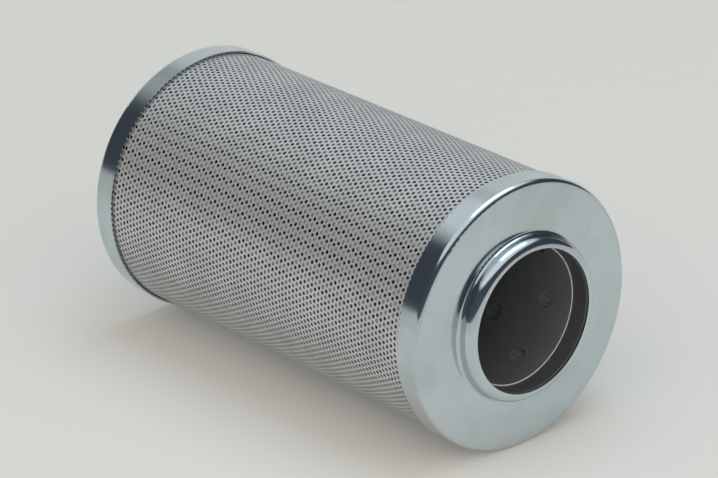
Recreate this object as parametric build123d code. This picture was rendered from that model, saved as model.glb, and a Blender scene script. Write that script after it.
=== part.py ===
from build123d import *
import math
import os

# Pleated filter element for a hydraulic return line.
# Oil passes inwards through a perforated outer sleeve, then through a pleated pack of
# support mesh, glass-fibre medium and drainage mesh, into a perforated core tube, and
# leaves through the neck of the open end cap. The closed end cap is blind. Adhesive in
# each cap holds the ends of the sleeve, the pleats and the core, and a rubber ring in
# the neck grips the spigot of the filter housing.
#
# Frame: +Z is the axis, from the closed end to the open end. The origin is the centre
# of the closed end's face, on which the element stands. Sizes are in millimetres.
# Half sections are drawn as (radius, height) and turned once round the axis.

# ---------------------------------------------------------------- driving sizes
# Both end caps, pressed from the same plated sheet
cap_diameter = 130.0
body_length = 230.0             # from face to face over the two caps
cap_sheet = 0.8
skirt_height = 12.5
shoulder_radius = 2.5           # outside radius between a cap's face and its skirt

# Neck of the open end cap
neck_height = 7.5
neck_root_radius = 1.6          # concave radius where the neck leaves the face
lip_flat = 0.25                 # flat ring that the rounded crown leaves at the lip
lip_setback = 0.55              # how far the lip stays back from the rubber ring's bore

# Rubber ring in the neck
seal_bore = 68.4                # grips the housing's spigot
seal_wall = 4.55                # between its bore and the neck's wall
seal_edge_radius = 0.6
seal_seat_gap = 0.05            # between the ring and the metal round it

# Core tube, a rolled and perforated steel sheet
core_step = 0.75                # how far its end shows inside the rubber ring's bore
core_sheet = 1.25
core_hole = 8.0
core_hole_pitch = 30.0
core_plain_end = 16.0           # from the tube's ends to its first and last holes

# Closed end cap's pressed centre, which centres the core tube
dish_depth = 4.0
dish_rim_radius = 2.0           # outside bend radius at the rim
dish_foot_radius = 1.2          # outside bend radius at the foot
dish_gap = 0.15                 # between the dish and the core tube's bore

# Layers of the pleated pack, from the outside inwards
support_mesh = 0.3
medium = 0.8
drainage_mesh = 0.3
fold_gap = 0.24                 # free space between the two legs of each fold
pack_gap = 0.3                  # between the pack and the tubes inside and outside it

# Strip that clamps the two ends of the pleated pack
clip_sheet = 0.4
clip_depth = 9.0
clip_gap = 0.05                 # between the strip and the folded layers

# Perforated outer sleeve
sleeve_gap = 0.6                # between the sleeve and the skirts round its ends
sleeve_sheet = 0.5
sleeve_hole = 8.0
sleeve_hole_pitch = 32.0
sleeve_plain_edge = 5.0         # from a skirt's edge to the nearest holes' edges

# Adhesive
closed_bed = 1.5                # under the ends of the pleats, in the closed cap
open_bed = 3.7                  # over the ends of the pleats, in the open cap
potting_depth = 4.6             # how far it climbs the outside of the sleeve
core_stand = 2.3                # how far the core tube reaches past the pleats

# ---------------------------------------------------------------- worked out
cap_radius = cap_diameter / 2
skirt_inner_radius = cap_radius - cap_sheet
seal_inner_radius = seal_bore / 2
seal_outer_radius = seal_inner_radius + seal_wall
neck_inner_radius = seal_outer_radius + seal_seat_gap
neck_radius = neck_inner_radius + cap_sheet
neck_top = body_length + neck_height
lip_radius = seal_inner_radius + lip_setback
neck_crown_radius = neck_radius - lip_radius - lip_flat     # outside radius from the wall to the lip

core_inner_radius = seal_inner_radius - core_step
core_outer_radius = core_inner_radius + core_sheet
sleeve_radius = skirt_inner_radius - sleeve_gap
sleeve_inner_radius = sleeve_radius - sleeve_sheet
dish_radius = core_inner_radius - dish_gap - cap_sheet      # outer face of the dish's wall

pack_bottom = cap_sheet + closed_bed
pack_top = body_length - cap_sheet - open_bed
core_top = pack_top + core_stand

pack_thickness = support_mesh + medium + drainage_mesh
leg_offset = (pack_thickness + fold_gap) / 2                # from a fold's plane to a leg's middle
crest_radius = sleeve_inner_radius - pack_gap - pack_thickness / 2
root_radius = core_outer_radius + pack_gap + pack_thickness / 2
pleat_count = int(math.pi * root_radius / (2 * leg_offset))
half_pitch = math.pi / pleat_count                          # angle from a crest to a root


# ---------------------------------------------------------------- helpers
def at(point):
    """A point of a half section, (radius, height), as a point in space."""
    return (point[0], 0, point[1])


def side(start, end):
    """A straight side of a half section."""
    return Line(at(start), at(end))


def bend(start, end, centre):
    """A quarter circle of a half section, from start to end round centre."""
    radius = math.dist(start, centre)
    middle = [(start[i] + end[i]) / 2 - centre[i] for i in (0, 1)]
    reach = radius / math.hypot(*middle)
    top = [centre[i] + middle[i] * reach for i in (0, 1)]
    return ThreePointArc(at(start), at(top), at(end))


def turned(edges):
    """A closed half section, turned once round the axis."""
    return revolve(make_face(edges), Axis.Z, 360)


def tube(outer_radius, inner_radius, bottom, top):
    """A plain tube round the axis between two heights."""
    ring = Circle(outer_radius) - Circle(inner_radius)
    return Pos(0, 0, bottom) * extrude(ring, top - bottom)


def staggered_holes(outer_radius, sheet, hole, pitch, low, high):
    """Round drills through a tube's wall, in rings that are turned by half a step in turn.

    Neighbouring holes are a pitch apart both ways, as near as whole numbers of holes and
    rings allow. The first ring's axis is at the height low and the last one's at high.
    """
    middle_radius = outer_radius - sheet / 2
    per_ring = max(3, round(2 * math.pi * middle_radius / pitch))
    rings = max(2, round((high - low) / (pitch * math.sin(math.pi / 3))) + 1)
    step = (high - low) / (rings - 1)
    rise = outer_radius - math.sqrt(outer_radius ** 2 - (hole / 2) ** 2)    # of the wall across a hole
    drill = Pos(middle_radius, 0, 0) * Rot(0, 90, 0) * Cylinder(hole / 2, 2 * (sheet + rise))
    drills = []
    for ring in range(rings):
        for place in range(per_ring):
            turn = (place + ring % 2 / 2) * 360 / per_ring
            drills.append(Pos(0, 0, low + ring * step) * Rot(0, 0, turn) * drill)
    return drills


# ---------------------------------------------------------------- end caps
def open_end_cap():
    """Skirt, face and neck of the open end, pressed from one sheet."""
    face, under = body_length, body_length - cap_sheet
    edge = body_length - skirt_height
    shoulder = (cap_radius - shoulder_radius, body_length - shoulder_radius)
    foot = (neck_radius + neck_root_radius, body_length + neck_root_radius)
    crown = (neck_radius - neck_crown_radius, neck_top - neck_crown_radius)
    lip_under = neck_top - cap_sheet
    outer_face = [
        side((cap_radius, edge), (cap_radius, shoulder[1])),
        bend((cap_radius, shoulder[1]), (shoulder[0], face), shoulder),
        side((shoulder[0], face), (foot[0], face)),
        bend((foot[0], face), (neck_radius, foot[1]), foot),
        side((neck_radius, foot[1]), (neck_radius, crown[1])),
        bend((neck_radius, crown[1]), (crown[0], neck_top), crown),
        side((crown[0], neck_top), (lip_radius, neck_top)),
    ]
    inner_face = [
        side((lip_radius, neck_top), (lip_radius, lip_under)),
        side((lip_radius, lip_under), (crown[0], lip_under)),
        bend((crown[0], lip_under), (neck_inner_radius, crown[1]), crown),
        side((neck_inner_radius, crown[1]), (neck_inner_radius, foot[1])),
        bend((neck_inner_radius, foot[1]), (foot[0], under), foot),
        side((foot[0], under), (shoulder[0], under)),
        bend((shoulder[0], under), (skirt_inner_radius, shoulder[1]), shoulder),
        side((skirt_inner_radius, shoulder[1]), (skirt_inner_radius, edge)),
        side((skirt_inner_radius, edge), (cap_radius, edge)),
    ]
    return turned(outer_face + inner_face)


def closed_end_cap():
    """Skirt, face and pressed centre of the blind end, from one sheet."""
    shoulder = (cap_radius - shoulder_radius, shoulder_radius)
    rim = (dish_radius + dish_rim_radius, dish_rim_radius)
    foot = (dish_radius - dish_foot_radius, dish_depth - dish_foot_radius)
    dish_back = dish_radius + cap_sheet
    top = dish_depth + cap_sheet
    outer_face = [
        side((cap_radius, skirt_height), (cap_radius, shoulder[1])),
        bend((cap_radius, shoulder[1]), (shoulder[0], 0), shoulder),
        side((shoulder[0], 0), (rim[0], 0)),
        bend((rim[0], 0), (dish_radius, rim[1]), rim),
        side((dish_radius, rim[1]), (dish_radius, foot[1])),
        bend((dish_radius, foot[1]), (foot[0], dish_depth), foot),
        side((foot[0], dish_depth), (0, dish_depth)),
    ]
    inner_face = [
        side((0, dish_depth), (0, top)),
        side((0, top), (foot[0], top)),
        bend((foot[0], top), (dish_back, foot[1]), foot),
        side((dish_back, foot[1]), (dish_back, rim[1])),
        bend((dish_back, rim[1]), (rim[0], cap_sheet), rim),
        side((rim[0], cap_sheet), (shoulder[0], cap_sheet)),
        bend((shoulder[0], cap_sheet), (skirt_inner_radius, shoulder[1]), shoulder),
        side((skirt_inner_radius, shoulder[1]), (skirt_inner_radius, skirt_height)),
        side((skirt_inner_radius, skirt_height), (cap_radius, skirt_height)),
    ]
    return turned(outer_face + inner_face)


def neck_seal():
    """Rubber ring that fills the neck from the core tube's end to the lip."""
    lip_under = neck_top - cap_sheet - seal_seat_gap
    crown_radius = neck_crown_radius - cap_sheet - seal_seat_gap
    crown = (seal_outer_radius - crown_radius, lip_under - crown_radius)
    inner_edge = seal_inner_radius + seal_edge_radius
    top_edge = (inner_edge, lip_under - seal_edge_radius)
    bottom_edge = (inner_edge, core_top + seal_edge_radius)
    return turned([
        side((seal_outer_radius, core_top), (seal_outer_radius, crown[1])),
        bend((seal_outer_radius, crown[1]), (crown[0], lip_under), crown),
        side((crown[0], lip_under), (inner_edge, lip_under)),
        bend((inner_edge, lip_under), (seal_inner_radius, top_edge[1]), top_edge),
        side((seal_inner_radius, top_edge[1]), (seal_inner_radius, bottom_edge[1])),
        bend((seal_inner_radius, bottom_edge[1]), (inner_edge, core_top), bottom_edge),
        side((inner_edge, core_top), (seal_outer_radius, core_top)),
    ])


# ---------------------------------------------------------------- tubes
def outer_sleeve():
    """Perforated tube that guards the pleats, with plain edges inside the skirts."""
    wall = tube(sleeve_radius, sleeve_inner_radius, pack_bottom, pack_top)
    inset = skirt_height + sleeve_plain_edge + sleeve_hole / 2
    return wall - staggered_holes(sleeve_radius, sleeve_sheet, sleeve_hole, sleeve_hole_pitch,
                                  inset, body_length - inset)


def core_tube():
    """Perforated tube that keeps the pleats from collapsing inwards."""
    wall = tube(core_outer_radius, core_inner_radius, pack_bottom, core_top)
    return wall - staggered_holes(core_outer_radius, core_sheet, core_hole, core_hole_pitch,
                                  pack_bottom + core_plain_end, core_top - core_plain_end)


# ---------------------------------------------------------------- pleated pack
def polar(turn, along, across):
    """The point at a distance along the direction turn and at a distance across it."""
    return (along * math.cos(turn) - across * math.sin(turn),
            along * math.sin(turn) + across * math.cos(turn))


def pleat_surface(offset, end_radius):
    """Corners of the surface that lies offset outside the pack's middle surface.

    Each pleat is two parallel legs, joined by a flat fold at the crest. The legs of
    neighbouring pleats are joined by a flat fold at the root. The pack starts and ends
    in the middle of the crest at angle 0, where both ends stop at end_radius.
    """
    crest, root = crest_radius + offset, root_radius + offset
    across = leg_offset + offset
    root_across = (root * math.sin(half_pitch) - across) / math.cos(half_pitch)
    corners = [polar(0, end_radius, across)]
    for pleat in range(pleat_count):
        turn = 2 * half_pitch * pleat
        if pleat:
            corners += [polar(turn, crest, -across), polar(turn, crest, across)]
        corners += [polar(turn + half_pitch, root, -root_across),
                    polar(turn + half_pitch, root, root_across)]
    return corners + [polar(0, end_radius, -across)]


def pleated_layer(outside, thickness):
    """One layer of the pack, whose outer surface is the depth outside below the pack's."""
    end_radius = crest_radius + pack_thickness / 2 - clip_sheet - clip_gap
    outer = pack_thickness / 2 - outside
    section = Polyline(*pleat_surface(outer, end_radius),
                       *reversed(pleat_surface(outer - thickness, end_radius)), close=True)
    return Pos(0, 0, pack_bottom) * extrude(make_face(section), pack_top - pack_bottom)


def seam_clip():
    """Strip folded over the two ends of the pack, which meet in one crest."""
    inner = leg_offset + pack_thickness / 2 + clip_gap
    outer = inner + clip_sheet
    top = crest_radius + pack_thickness / 2
    strip = Polyline((top - clip_depth, -outer), (top, -outer), (top, outer), (top - clip_depth, outer),
                     (top - clip_depth, inner), (top - clip_sheet, inner),
                     (top - clip_sheet, -inner), (top - clip_depth, -inner), close=True)
    return Pos(0, 0, pack_bottom) * extrude(make_face(strip), pack_top - pack_bottom)


# ---------------------------------------------------------------- adhesive
def closed_end_adhesive():
    """Bed under the sleeve, the pleats and the core, and a rim outside the sleeve."""
    shoulder = (cap_radius - shoulder_radius, shoulder_radius)
    rim = (dish_radius + dish_rim_radius, dish_rim_radius)
    dish_back = dish_radius + cap_sheet
    climb = pack_bottom + potting_depth
    return turned([
        side((rim[0], cap_sheet), (shoulder[0], cap_sheet)),
        bend((shoulder[0], cap_sheet), (skirt_inner_radius, shoulder[1]), shoulder),
        side((skirt_inner_radius, shoulder[1]), (skirt_inner_radius, climb)),
        side((skirt_inner_radius, climb), (sleeve_radius, climb)),
        side((sleeve_radius, climb), (sleeve_radius, pack_bottom)),
        side((sleeve_radius, pack_bottom), (dish_back, pack_bottom)),
        side((dish_back, pack_bottom), (dish_back, rim[1])),
        bend((dish_back, rim[1]), (rim[0], cap_sheet), rim),
    ])


def open_end_adhesive():
    """Bed over the sleeve and the pleats, round the core and the seal, with the same rim."""
    shoulder = (cap_radius - shoulder_radius, body_length - shoulder_radius)
    under = body_length - cap_sheet
    climb = pack_top - potting_depth
    return turned([
        side((seal_outer_radius, under), (shoulder[0], under)),
        bend((shoulder[0], under), (skirt_inner_radius, shoulder[1]), shoulder),
        side((skirt_inner_radius, shoulder[1]), (skirt_inner_radius, climb)),
        side((skirt_inner_radius, climb), (sleeve_radius, climb)),
        side((sleeve_radius, climb), (sleeve_radius, pack_top)),
        side((sleeve_radius, pack_top), (core_outer_radius, pack_top)),
        side((core_outer_radius, pack_top), (core_outer_radius, core_top)),
        side((core_outer_radius, core_top), (seal_outer_radius, core_top)),
        side((seal_outer_radius, core_top), (seal_outer_radius, under)),
    ])


# ---------------------------------------------------------------- write the parts
parts = {
    "closed_end_cap": closed_end_cap(),
    "open_end_cap": open_end_cap(),
    "neck_seal": neck_seal(),
    "outer_sleeve": outer_sleeve(),
    "outer_support_mesh": pleated_layer(0, support_mesh),
    "filter_medium": pleated_layer(support_mesh, medium),
    "drainage_mesh": pleated_layer(support_mesh + medium, drainage_mesh),
    "seam_clip": seam_clip(),
    "core_tube": core_tube(),
    "closed_end_adhesive": closed_end_adhesive(),
    "open_end_adhesive": open_end_adhesive(),
}

os.makedirs("parts", exist_ok=True)
for name, shape in parts.items():
    export_step(shape, f"parts/{name}.step")
    print(name, round(shape.volume), "mm3")
print(pleat_count, "pleats")
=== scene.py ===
# %% [markdown]
# # A pleated filter element for hydraulic oil
# The element is a perforated sleeve between two plated end caps. Behind the sleeve
# stands a pack of folded mesh and glass fibre, and the open cap has a raised collar
# with a rubber ring, through which the clean oil leaves. The engineering model already
# holds every piece at its real size. This notebook gives the pieces their finish and
# makes the one form that is too fine for the engineering model: the sleeve's small
# holes, of which there are about eleven and a half thousand.

# %% The frame
import math

import bpy
import numpy as np
from mathutils import Matrix, Vector


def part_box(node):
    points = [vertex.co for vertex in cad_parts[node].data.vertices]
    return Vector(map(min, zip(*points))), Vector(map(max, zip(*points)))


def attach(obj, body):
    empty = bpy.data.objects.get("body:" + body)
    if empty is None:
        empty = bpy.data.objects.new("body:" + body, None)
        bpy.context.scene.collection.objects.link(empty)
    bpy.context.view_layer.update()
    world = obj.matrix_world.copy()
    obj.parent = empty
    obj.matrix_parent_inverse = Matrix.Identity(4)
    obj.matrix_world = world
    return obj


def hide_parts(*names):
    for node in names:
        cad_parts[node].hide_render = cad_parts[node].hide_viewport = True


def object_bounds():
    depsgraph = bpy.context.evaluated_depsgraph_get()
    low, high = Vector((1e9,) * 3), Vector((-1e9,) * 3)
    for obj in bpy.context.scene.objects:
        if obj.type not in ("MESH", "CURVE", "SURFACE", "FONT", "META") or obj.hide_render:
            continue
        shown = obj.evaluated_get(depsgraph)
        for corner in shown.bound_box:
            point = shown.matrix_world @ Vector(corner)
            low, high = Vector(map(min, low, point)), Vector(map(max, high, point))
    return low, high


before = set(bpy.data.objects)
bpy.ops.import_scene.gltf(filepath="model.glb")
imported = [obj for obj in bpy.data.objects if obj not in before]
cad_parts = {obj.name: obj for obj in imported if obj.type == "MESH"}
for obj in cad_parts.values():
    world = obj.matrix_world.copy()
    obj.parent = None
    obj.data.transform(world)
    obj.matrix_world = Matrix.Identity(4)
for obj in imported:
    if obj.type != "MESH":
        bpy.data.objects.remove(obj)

MM = 0.001
cad_low, cad_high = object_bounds()
cap_radius = (cad_high.x - cad_low.x) / 2
total_height = cad_high.z - cad_low.z
print("cap radius", round(cap_radius / MM, 2), "mm, height", round(total_height / MM, 2), "mm")

# %% [markdown]
# ## Where things are
# Each height and radius is read from the boxes of the engineering pieces, so the
# sleeve and the finishes follow if a piece changes. Only the core tube's wall, which no
# box tells, is written down. The skirts are the parts of the two caps that reach over
# the sleeve's ends.

# %% Heights and radii of the engineering pieces
CORE_SHEET = 1.25 * MM

sleeve_low, sleeve_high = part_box("outer_sleeve")
sleeve_radius = (sleeve_high.x - sleeve_low.x) / 2
lower_skirt_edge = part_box("closed_end_cap")[1].z
upper_skirt_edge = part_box("open_end_cap")[0].z
core_low, core_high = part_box("core_tube")
core_bore = (core_high.x - core_low.x) / 2 - CORE_SHEET
print("sleeve radius", round(sleeve_radius / MM, 2), "mm, bare between",
      round(lower_skirt_edge / MM, 1), "and", round(upper_skirt_edge / MM, 1), "mm")

# %% [markdown]
# ## The perforated sleeve
# The real sleeve is thin sheet with round holes punched in rows, each row shifted by
# half a step, so that every hole has six neighbours at the same distance. Cutting that
# many holes with booleans would take hours. A tiled surface does it at once: the sheet
# is divided into rectangles one hole wide and one row high, each with an eight-sided
# hole in its middle, which has the round hole's area. The rectangles' corners meet the
# middles of the neighbouring rows' edges, so those points are shared, and the sheet has
# no cracks. The same tiles, one thickness further in, are its back, and short walls
# join the two.

# %% The sleeve's perforation
HOLE_DIAMETER = 1.9 * MM
HOLE_STEP = 2.85 * MM          # between neighbouring holes in a row
HOLE_SIDES = 8
SHEET = 0.5 * MM
TILE_REACH = 0.4 * MM          # how far the first and last rows' tiles reach into the skirts
SMOOTH_BELOW = math.radians(40)        # edges that turn by less than this are shaded smooth

hole_area = math.pi * (HOLE_DIAMETER / 2) ** 2
hole_corner = math.sqrt(2 * hole_area / (HOLE_SIDES * math.sin(2 * math.pi / HOLE_SIDES)))
holes_per_row = round(2 * math.pi * sleeve_radius / HOLE_STEP)
row_height = HOLE_STEP * math.sin(math.pi / 3)
first_row_edge = lower_skirt_edge - TILE_REACH
last_row_edge = upper_skirt_edge + TILE_REACH
rows = round((last_row_edge - first_row_edge) / row_height)
row_edges = np.linspace(first_row_edge, last_row_edge, rows + 1)
print("holes", holes_per_row * rows, "in", rows, "rows of", holes_per_row)


def tile_points(edges, first_row, radius):
    """Points of the tiled sheet on a cylinder of a radius, as one array.

    The row edges come first, each with two points for every hole, half a step apart.
    Then come the holes. Corner m of a hole lies in the direction of m eighths of a turn
    from the hole's middle. Odd rows are shifted by half a step, so their holes sit above
    the gaps of even rows.
    """
    half_step = math.pi / holes_per_row
    turn = np.arange(2 * holes_per_row) * half_step
    edge_turn, edge_height = np.meshgrid(turn, edges)
    row, place, corner = np.meshgrid(np.arange(len(edges) - 1), np.arange(holes_per_row),
                                     np.arange(HOLE_SIDES), indexing="ij")
    round_hole = corner * 2 * math.pi / HOLE_SIDES
    middle_turn = (2 * place + 1 + (row + first_row) % 2) * half_step
    middle_height = (edges[row] + edges[row + 1]) / 2
    hole_turn = middle_turn + hole_corner * np.cos(round_hole) / sleeve_radius
    hole_height = middle_height + hole_corner * np.sin(round_hole)
    turns = np.concatenate([edge_turn.ravel(), hole_turn.ravel()])
    heights = np.concatenate([edge_height.ravel(), hole_height.ravel()])
    return np.stack([radius * np.cos(turns), radius * np.sin(turns), heights], axis=1)


def tile_faces(row_count, first_row):
    """Triangles of the tiled sheet, and the numbers of each hole's points.

    A tile has six points on its edges: low left, low middle, low right, high right, high
    middle and high left. Fourteen triangles fill the ring between them and the hole.
    """
    around = 2 * holes_per_row
    row, place = np.meshgrid(np.arange(row_count), np.arange(holes_per_row), indexing="ij")
    left = 2 * place + (row + first_row) % 2
    low = row * around
    high = low + around
    low_left, low_middle, low_right = (low + (left + shift) % around for shift in range(3))
    high_left, high_middle, high_right = (high + (left + shift) % around for shift in range(3))
    first = (row_count + 1) * around + (row * holes_per_row + place) * HOLE_SIDES
    hole = [first + corner for corner in range(HOLE_SIDES)]
    ring = [(hole[0], low_right, high_right), (hole[0], high_right, hole[1]),
            (hole[1], high_right, high_middle), (hole[1], high_middle, hole[2]),
            (hole[2], high_middle, high_left), (hole[2], high_left, hole[3]),
            (hole[3], high_left, hole[4]), (hole[4], high_left, low_left),
            (hole[4], low_left, hole[5]), (hole[5], low_left, low_middle),
            (hole[5], low_middle, hole[6]), (hole[6], low_middle, low_right),
            (hole[6], low_right, hole[7]), (hole[7], low_right, hole[0])]
    triangles = np.stack([np.stack(t, axis=-1) for t in ring], axis=2).reshape(-1, 3)
    return triangles, np.stack(hole, axis=-1).reshape(-1, HOLE_SIDES)


def ring_walls(outer_ring, inner_ring):
    """Triangles between closed rings of outer points and the inner points behind them."""
    outer_next = np.roll(outer_ring, -1, axis=-1)
    inner_next = np.roll(inner_ring, -1, axis=-1)
    one = np.stack([outer_ring, inner_ring, inner_next], axis=-1).reshape(-1, 3)
    two = np.stack([outer_ring, inner_next, outer_next], axis=-1).reshape(-1, 3)
    return np.concatenate([one, two])


def sleeve_band(name, first_row, last_row):
    """A closed piece of the sleeve with the rows from first_row up to last_row.

    Plain sheet is added below the first row of all and above the last row of all, down
    and up to the ends of the sleeve, as a ring of rectangles.
    """
    edges = row_edges[first_row:last_row + 1]
    count = last_row - first_row
    outer = tile_points(edges, first_row, sleeve_radius)
    inner = tile_points(edges, first_row, sleeve_radius - SHEET)
    triangles, holes = tile_faces(count, first_row)
    around = 2 * holes_per_row
    low_ring = np.arange(around)
    high_ring = count * around + low_ring
    points = [outer, inner]
    faces = [triangles, triangles[:, ::-1] + len(outer), ring_walls(holes + len(outer), holes)]
    total = 2 * len(outer)
    low_end = (low_ring, low_ring + len(outer))
    high_end = (high_ring, high_ring + len(outer))

    def rim(ring, height):
        """Points of a ring moved to a height, and their numbers, outside and inside."""
        rim_out, rim_in = outer[ring], inner[ring]
        rim_out[:, 2] = rim_in[:, 2] = height
        return [rim_out, rim_in], (total + low_ring, total + around + low_ring)

    if first_row == 0:
        rim_points, (new_out, new_in) = rim(low_ring, sleeve_low.z)
        points += rim_points
        faces += [ring_walls(low_end[0], new_out), ring_walls(new_in, low_end[1])]
        low_end = (new_out, new_in)
        total += 2 * around
    if last_row == rows:
        rim_points, (new_out, new_in) = rim(high_ring, sleeve_high.z)
        points += rim_points
        faces += [ring_walls(new_out, high_end[0]), ring_walls(high_end[1], new_in)]
        high_end = (new_out, new_in)
    faces += [ring_walls(*low_end), ring_walls(*reversed(high_end))]

    mesh = bpy.data.meshes.new(name)
    mesh.from_pydata(np.concatenate(points), [], np.concatenate(faces))
    mesh.validate()
    mesh.shade_smooth()
    mesh.set_sharp_from_angle(angle=SMOOTH_BELOW)
    piece = bpy.data.objects.new(name, mesh)
    bpy.context.scene.collection.objects.link(piece)
    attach(piece, "root")
    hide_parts("outer_sleeve")
    print(name, "has", len(mesh.polygons), "triangles")
    return piece


# %% The sleeve in three bands, each under two hundred thousand triangles
BAND_PLACES = ("lower", "middle", "upper")
band_rows = [round(rows * band / len(BAND_PLACES)) for band in range(len(BAND_PLACES) + 1)]
sleeve = [sleeve_band("sleeve_" + place, low, high)
          for place, low, high in zip(BAND_PLACES, band_rows, band_rows[1:])]

# %% [markdown]
# ## Small helpers
# A finish is a tree of shader nodes. A few helpers keep each finish short: one makes a
# material with its Principled shader, and the others add a node, set its values and
# link its inputs in one line.

# %% Helpers for materials


def new_material(name):
    """An empty material with a Principled shader, returned with its tree and shader."""
    material = bpy.data.materials.new(name)
    material.use_nodes = True
    tree = material.node_tree
    return material, tree, tree.nodes["Principled BSDF"]


def feed(tree, socket, value):
    """Links an input to a socket, or sets it to any other value."""
    if isinstance(value, bpy.types.NodeSocket):
        tree.links.new(value, socket)
    else:
        socket.default_value = value


def add(tree, kind, settings=None, **inputs):
    """A node of a kind, with settings as its own values and inputs set or linked.

    An input is named in lower case with underscores. The node's first output is returned.
    """
    node = tree.nodes.new(kind)
    for key, value in (settings or {}).items():
        setattr(node, key, value)
    for key, value in inputs.items():
        name = key.replace("_", " ").title()
        feed(tree, next(s for s in node.inputs if s.name.title() == name and s.enabled), value)
    return next(s for s in node.outputs if s.enabled)


def worked(tree, operation, *values):
    """The number that an operation of the Math node gives from its values."""
    node = tree.nodes.new("ShaderNodeMath")
    node.operation = operation
    for socket, value in zip(node.inputs, values):
        feed(tree, socket, value)
    return node.outputs["Value"]


def worked_vector(tree, operation, *vectors, output="Value"):
    """The number, or the Vector output, that the Vector Math node gives from its vectors."""
    node = tree.nodes.new("ShaderNodeVectorMath")
    node.operation = operation
    for socket, value in zip(node.inputs, vectors):
        feed(tree, socket, value)
    return node.outputs[output]


def ramp(tree, value, start, end):
    """Goes evenly from 0 to 1 as value goes from start to end."""
    return add(tree, "ShaderNodeMapRange", value=value, from_min=start, from_max=end)


def smooth_step(tree, value, start, end):
    """Goes from 0 to 1 as value goes from start to end, slowly at both ends."""
    return add(tree, "ShaderNodeMapRange", {"interpolation_type": "SMOOTHSTEP"},
               value=value, from_min=start, from_max=end)


def mixed(tree, factor, low, high):
    """The colour that goes from low to high as factor goes from 0 to 1.

    A colour is a socket, or its red, green and blue parts.
    """
    low, high = (c if isinstance(c, bpy.types.NodeSocket) else (*c, 1) for c in (low, high))
    return add(tree, "ShaderNodeMix", {"data_type": "RGBA"}, factor=factor, a=low, b=high)


def object_place(tree):
    """The place of the shaded point in its object's own coordinates."""
    return tree.nodes.new("ShaderNodeTexCoord").outputs["Object"]


def coat(node_name, material):
    """Gives every material slot of an engineering piece the same finish."""
    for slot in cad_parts[node_name].material_slots:
        slot.material = material


# %% [markdown]
# ## Finishes
# The caps are bright zinc plating: a bluish metal, smooth enough for clear reflections,
# with faint clouding from the plating bath. The sleeve is galvanised sheet, which is
# duller and more neutral. The rest is plain: black rubber, a core tube with a dark
# coating, woven steel mesh, white glass fibre and grey adhesive. The core tube's upper
# end shows in the outlet; its inner edge is bare steel, painted bright as a highlight.
# Colours are the linear red, green and blue parts of what a surface reflects.

# %% Plated steel
CLOUD_EDGES = (0.32, 0.68)     # noise values between which one cloud tone turns into the other
PLATING_GRAIN = 1500           # cells of the finest noise in a metre
GRAIN_DEPTH = 0.003 * MM
GRAIN_STRENGTH = 0.25


def plated_steel(name, dark, light, smooth, rough, cloud_scale, metallic=1.0):
    """A metal whose colour and roughness drift between two values in soft clouds.

    The light clouds are the smooth ones. A much finer cloud stands for the plating's
    grain, as a bump of a few micrometres.
    """
    material, tree, shader = new_material(name)
    place = object_place(tree)
    clouds = add(tree, "ShaderNodeTexNoise", vector=place, scale=cloud_scale, detail=4, roughness=0.55)
    spread = smooth_step(tree, clouds, *CLOUD_EDGES)
    tree.links.new(mixed(tree, spread, dark, light), shader.inputs["Base Color"])
    haze = add(tree, "ShaderNodeMapRange", value=spread, to_min=rough, to_max=smooth)
    tree.links.new(haze, shader.inputs["Roughness"])
    grain = add(tree, "ShaderNodeTexNoise", vector=place, scale=PLATING_GRAIN, detail=2)
    bump = add(tree, "ShaderNodeBump", height=grain, strength=GRAIN_STRENGTH, distance=GRAIN_DEPTH)
    tree.links.new(bump, shader.inputs["Normal"])
    shader.inputs["Metallic"].default_value = metallic
    return material


zinc = plated_steel("zinc_plating", dark=(0.50, 0.575, 0.59), light=(0.61, 0.67, 0.71),
                    smooth=0.1, rough=0.17, cloud_scale=24)
galvanised = plated_steel("galvanised_sheet", dark=(0.465, 0.482, 0.502), light=(0.525, 0.543, 0.565),
                          smooth=0.34, rough=0.42, cloud_scale=55, metallic=0.6)
coat("closed_end_cap", zinc)
coat("open_end_cap", zinc)
for band in sleeve:
    band.data.materials.append(galvanised)

# %% Rubber, glass fibre, steel strip and adhesive


def plain_finish(name, dark, light, roughness, cloud_scale, metallic=0.0):
    """A finish whose colour drifts between two tones in soft clouds.

    It is returned with its tree, its shader and the colour's socket.
    """
    material, tree, shader = new_material(name)
    clouds = add(tree, "ShaderNodeTexNoise", vector=object_place(tree), scale=cloud_scale, detail=3)
    tint = mixed(tree, clouds, dark, light)
    tree.links.new(tint, shader.inputs["Base Color"])
    shader.inputs["Roughness"].default_value = roughness
    shader.inputs["Metallic"].default_value = metallic
    return material, tree, shader, tint


rubber, *_ = plain_finish("nitrile_rubber", dark=(0.036, 0.039, 0.042), light=(0.050, 0.054, 0.058),
                          roughness=0.55, cloud_scale=90)
glass_fibre, *_ = plain_finish("glass_fibre", dark=(0.72, 0.72, 0.70), light=(0.84, 0.84, 0.82),
                               roughness=0.9, cloud_scale=300)
steel_strip, *_ = plain_finish("steel_strip", dark=(0.5, 0.5, 0.5), light=(0.6, 0.6, 0.6),
                               roughness=0.35, cloud_scale=60, metallic=1.0)
adhesive, *_ = plain_finish("adhesive", dark=(0.25, 0.24, 0.22), light=(0.32, 0.31, 0.29),
                            roughness=0.5, cloud_scale=60)
coat("neck_seal", rubber)
coat("filter_medium", glass_fibre)
coat("seam_clip", steel_strip)
coat("closed_end_adhesive", adhesive)
coat("open_end_adhesive", adhesive)

# %% The core tube's coating
# The bare steel tone on the core's inner edge is a painted highlight.
BARE_STEEL_HIGHLIGHT = (0.66, 0.69, 0.72)
HIGHLIGHT_BELOW_END = (0.25 * MM, 0.1 * MM)         # depths where the painted highlight starts and where it is full
HIGHLIGHT_FROM_BORE = (0.45 * MM, 0.3 * MM)         # the same, outwards from the bore


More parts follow.
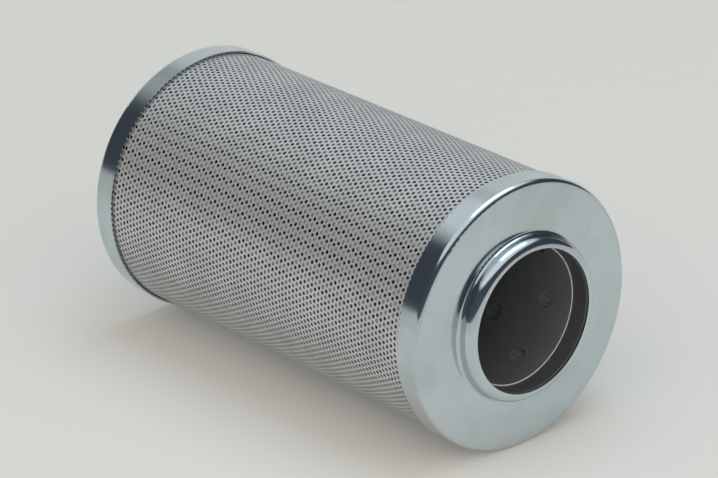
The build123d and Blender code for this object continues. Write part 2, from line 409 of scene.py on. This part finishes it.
def core_coating():
    """Dark grey coating, bare steel on the inner edge of the tube's upper end, made bright as a painted
    highlight.

    The painted highlight is the product of two ramps: one up towards the end, and one
    across its face towards the bore.
    """
    material, tree, shader, tint = plain_finish("core_coating", dark=(0.085, 0.094, 0.102),
                                                light=(0.11, 0.121, 0.13), roughness=0.5, cloud_scale=60)
    place = object_place(tree)
    height = add(tree, "ShaderNodeSeparateXYZ", vector=place).node.outputs["Z"]
    across = worked_vector(tree, "MULTIPLY", place, (1, 1, 0), output="Vector")
    from_axis = worked_vector(tree, "LENGTH", across)
    at_end = ramp(tree, height, *(core_high.z - depth for depth in HIGHLIGHT_BELOW_END))
    at_bore = ramp(tree, from_axis, *(core_bore + width for width in HIGHLIGHT_FROM_BORE))
    # Painted highlight: the inner edge of the upper end is made bright.
    painted_highlight = worked(tree, "MULTIPLY", at_end, at_bore)
    tree.links.new(mixed(tree, painted_highlight, tint, BARE_STEEL_HIGHLIGHT), shader.inputs["Base Color"])
    return material


coat("core_tube", core_coating())

# %% [markdown]
# ## Woven mesh
# Both meshes are plain weaves of thin wire. Height bands stand for the wires round the
# pack, and rings round the axis for the wires across the legs of the folds.

# %% Woven mesh
WIRE_STEP = 0.5 * MM
WIRE_RELIEF = 0.1 * MM
WAVE_SCALE = 2 * math.pi / 20          # the wave texture's scale for one wave in a metre


def woven_mesh(name, dark, light):
    """Steel mesh: two crossing sets of bands, whose higher one shows, as colour and bump."""
    material, tree, shader = new_material(name)
    place = object_place(tree)
    scale = WAVE_SCALE / WIRE_STEP
    across = add(tree, "ShaderNodeTexWave", {"wave_type": "BANDS", "bands_direction": "Z"},
                 vector=place, scale=scale)
    along = add(tree, "ShaderNodeTexWave", {"wave_type": "RINGS", "rings_direction": "Z"},
                vector=place, scale=scale)
    heights = [bands.node.outputs["Factor" if "Factor" in bands.node.outputs else "Fac"]
               for bands in (across, along)]
    wires = worked(tree, "MAXIMUM", *heights)
    tree.links.new(mixed(tree, wires, dark, light), shader.inputs["Base Color"])
    bump = add(tree, "ShaderNodeBump", height=wires, strength=0.6, distance=WIRE_RELIEF)
    tree.links.new(bump, shader.inputs["Normal"])
    shader.inputs["Roughness"].default_value = 0.6
    return material


coat("outer_support_mesh", woven_mesh("support_mesh", dark=(0.12, 0.123, 0.13), light=(0.27, 0.276, 0.29)))
coat("drainage_mesh", woven_mesh("drainage_mesh", dark=(0.10, 0.11, 0.12), light=(0.16, 0.176, 0.19)))

# %% [markdown]
# ## The surface it lies on, the light and the camera
# The model stands on its closed end, but the element is usually seen lying down. So
# the camera looks at it from the side and is turned until the model's -X points up in
# the picture, and the pale surface is the plane that the two caps' rims touch on the
# model's +X side. Its far side is clear, so it never hides the element from behind, and
# it fades into the background, so that its edges don't show from any side.

# %% The pale surface
CAMERA_TURN = math.radians(41.54)      # from the axis towards -Y, seen from above the lying element
SURFACE_SIZE = 1.2             # metres
SURFACE_FADE = (0.29, 0.52)    # metres from its middle, where the fade starts and ends
# The far and near tones are painted light: the surface is made lighter towards the viewer.
SURFACE_FAR_PAINTED_SHADE = (0.495, 0.495, 0.49)
SURFACE_NEAR_PAINTED_LIGHT = (0.55, 0.55, 0.55)
PAINTED_LIGHT_SLOPE = (-0.45, 0.3)   # metres towards the viewer where the painted light's far and near tones are reached
SURFACE_PAINTED_GLOW = 0.1             # painted glow of the surface, which lifts its contact shadow
PAINTED_GLOW_SHADE = (1.0, 0.97, 0.90, 1)

toward_viewer = Vector((0, -math.sin(CAMERA_TURN), math.cos(CAMERA_TURN)))


def pale_surface():
    """A square at the caps' +X rims, facing -X, with painted light that makes it a little lighter towards
    the viewer.

    A weak painted glow lifts the contact shadow, so it stays soft. The
    square fades into the background of the same tone before it reaches its edges.
    """
    mesh = bpy.data.meshes.new("pale_surface")
    half = SURFACE_SIZE / 2
    middle = Vector((cad_high.x, 0, total_height / 2))
    corners = [middle + Vector((0, y, z)) * half for y, z in ((-1, -1), (-1, 1), (1, 1), (1, -1))]
    mesh.from_pydata(corners, [], [(0, 1, 2, 3)])
    surface = bpy.data.objects.new("pale_surface", mesh)
    bpy.context.scene.collection.objects.link(surface)
    material, tree, shader = new_material("pale_surface")
    place = object_place(tree)
    # Painted light: the surface's colour grows lighter towards the viewer.
    painted_light_nearness = ramp(tree, worked_vector(tree, "DOT_PRODUCT", place, toward_viewer), *PAINTED_LIGHT_SLOPE)
    tree.links.new(mixed(tree, painted_light_nearness, SURFACE_FAR_PAINTED_SHADE, SURFACE_NEAR_PAINTED_LIGHT), shader.inputs["Base Color"])
    shader.inputs["Roughness"].default_value = 0.9
    shader.inputs["Specular IOR Level"].default_value = 0.0
    # The surface's glow is painted light that lifts its shadow.
    shader.inputs["Emission Color"].default_value = PAINTED_GLOW_SHADE
    shader.inputs["Emission Strength"].default_value = SURFACE_PAINTED_GLOW
    faded = smooth_step(tree, worked_vector(tree, "DISTANCE", place, middle), *SURFACE_FADE)
    behind = tree.nodes.new("ShaderNodeNewGeometry").outputs["Backfacing"]
    clear = tree.nodes.new("ShaderNodeBsdfTransparent")
    blend = tree.nodes.new("ShaderNodeMixShader")
    for socket, value in zip(blend.inputs, (worked(tree, "MAXIMUM", behind, faded),
                                            shader.outputs[0], clear.outputs[0])):
        tree.links.new(value, socket)
    tree.links.new(blend.outputs[0], tree.nodes["Material Output"].inputs["Surface"])
    mesh.materials.append(material)
    return surface


surface = pale_surface()
print("surface faces", tuple(surface.data.polygons[0].normal))

# %% The camera
LENS = 196.9
SENSOR = 36.0                  # both in millimetres
CAMERA_RISE = math.radians(23.26)      # above the surface it lies on
CAMERA_DISTANCE = 28.276 * cap_radius
LOOK_AT = Vector((-0.1052, -0.1094, 1.9483)) * cap_radius

picture_up = Vector((-1, 0, 0))
toward_camera = picture_up * math.sin(CAMERA_RISE) + toward_viewer * math.cos(CAMERA_RISE)
picture_right = picture_up.cross(toward_camera).normalized()
camera_up = toward_camera.cross(picture_right)
camera_data = bpy.data.cameras.new("camera")
camera_data.lens = LENS
camera_data.sensor_width = SENSOR
camera = bpy.data.objects.new("camera", camera_data)
bpy.context.scene.collection.objects.link(camera)
axes = Matrix((picture_right, camera_up, toward_camera)).transposed().to_4x4()
camera.matrix_world = Matrix.Translation(LOOK_AT + toward_camera * CAMERA_DISTANCE) @ axes
bpy.context.scene.camera = camera
print("camera at", [round(v, 3) for v in camera.matrix_world.translation])

# %% The light


def area_light(name, direction, distance, size, power, shade):
    """A square soft light at a distance from the element in a direction, aimed at its middle."""
    light = bpy.data.lights.new(name, "AREA")
    light.shape = "SQUARE"
    light.size = size
    light.energy = power
    light.color = shade
    lamp = bpy.data.objects.new(name, light)
    middle = (cad_low + cad_high) / 2
    away = Vector(direction).normalized()
    lamp.location = middle + away * distance
    lamp.rotation_mode = "QUATERNION"
    lamp.rotation_quaternion = away.to_track_quat("Z", "Y")
    bpy.context.scene.collection.objects.link(lamp)
    return lamp


area_light("overhead_light", direction=(-1, 0.21, 0.02), distance=1.5, size=1.0, power=8.5,
           shade=(0.57, 0.83, 1.0))

# %% [markdown]
# ## The room
# Plain light from all sides would make the plating look like paint. A metal shows what
# stands round it, so mirrored rays see a room: the pale surface below, a dark band of
# furniture and doorways just above it, a pale wall behind the element, and a bright
# ceiling. Matt surfaces get a soft, slightly warm light, which is stronger from the
# viewer's side, and the camera sees a plain pale background.

# %% The room
DARK_BAND = (0.050, 0.058, 0.075)
CEILING = (0.86, 0.90, 0.92)
BACK_WALL = (0.71, 0.73, 0.72)
FAR_FLOOR = (0.60, 0.60, 0.58)
SOFT_LIGHT_BEHIND = (0.22, 0.207, 0.184)
SOFT_LIGHT_BEFORE = (1.98, 1.87, 1.67)
BACKGROUND = (0.636, 0.648, 0.617)
CEILING_EDGE = (-0.62, -0.74)          # -X is up, so these are the sines of 38 and 48 degrees
BACK_WALL_EDGE = (0.62, 0.80)          # cosines of 52 and 37 degrees from straight behind
HORIZON = (-0.03, 0.01)                # from just above the level to just below it
SOFT_LIGHT_POWER = 1.5         # how quickly the soft light weakens away from the viewer's side


def room():
    """A world that mirrored rays, matt surfaces and the camera each see in their own way.

    For mirrored rays, the height of a direction is its -X part. The dark band turns into
    the ceiling between 38 and 48 degrees up. The back wall covers both near the
    direction away from the viewer, and the floor covers all below the horizon. For matt
    surfaces, the light grows from behind the element to the viewer's side, as a power of
    the direction's nearness to the viewer. The camera sees one colour.
    """
    world = bpy.data.worlds.new("room")
    world.use_nodes = True
    tree = world.node_tree
    direction = tree.nodes.new("ShaderNodeTexCoord").outputs["Generated"]
    fall = add(tree, "ShaderNodeSeparateXYZ", vector=direction)
    behind = worked_vector(tree, "DOT_PRODUCT", direction, -toward_viewer)
    mirrored = mixed(tree, smooth_step(tree, fall, *CEILING_EDGE), DARK_BAND, CEILING)
    mirrored = mixed(tree, smooth_step(tree, behind, *BACK_WALL_EDGE), mirrored, BACK_WALL)
    mirrored = mixed(tree, smooth_step(tree, fall, *HORIZON), mirrored, FAR_FLOOR)
    before = worked(tree, "POWER", ramp(tree, behind, 1, -1), SOFT_LIGHT_POWER)
    soft_light = mixed(tree, before, SOFT_LIGHT_BEHIND, SOFT_LIGHT_BEFORE)
    rays = tree.nodes.new("ShaderNodeLightPath").outputs
    seen = mixed(tree, rays["Is Glossy Ray"], soft_light, mirrored)
    seen = mixed(tree, rays["Is Camera Ray"], seen, BACKGROUND)
    tree.links.new(seen, tree.nodes["Background"].inputs["Color"])
    return world


bpy.context.scene.world = room()
bpy.context.scene.view_settings.view_transform = "Standard"
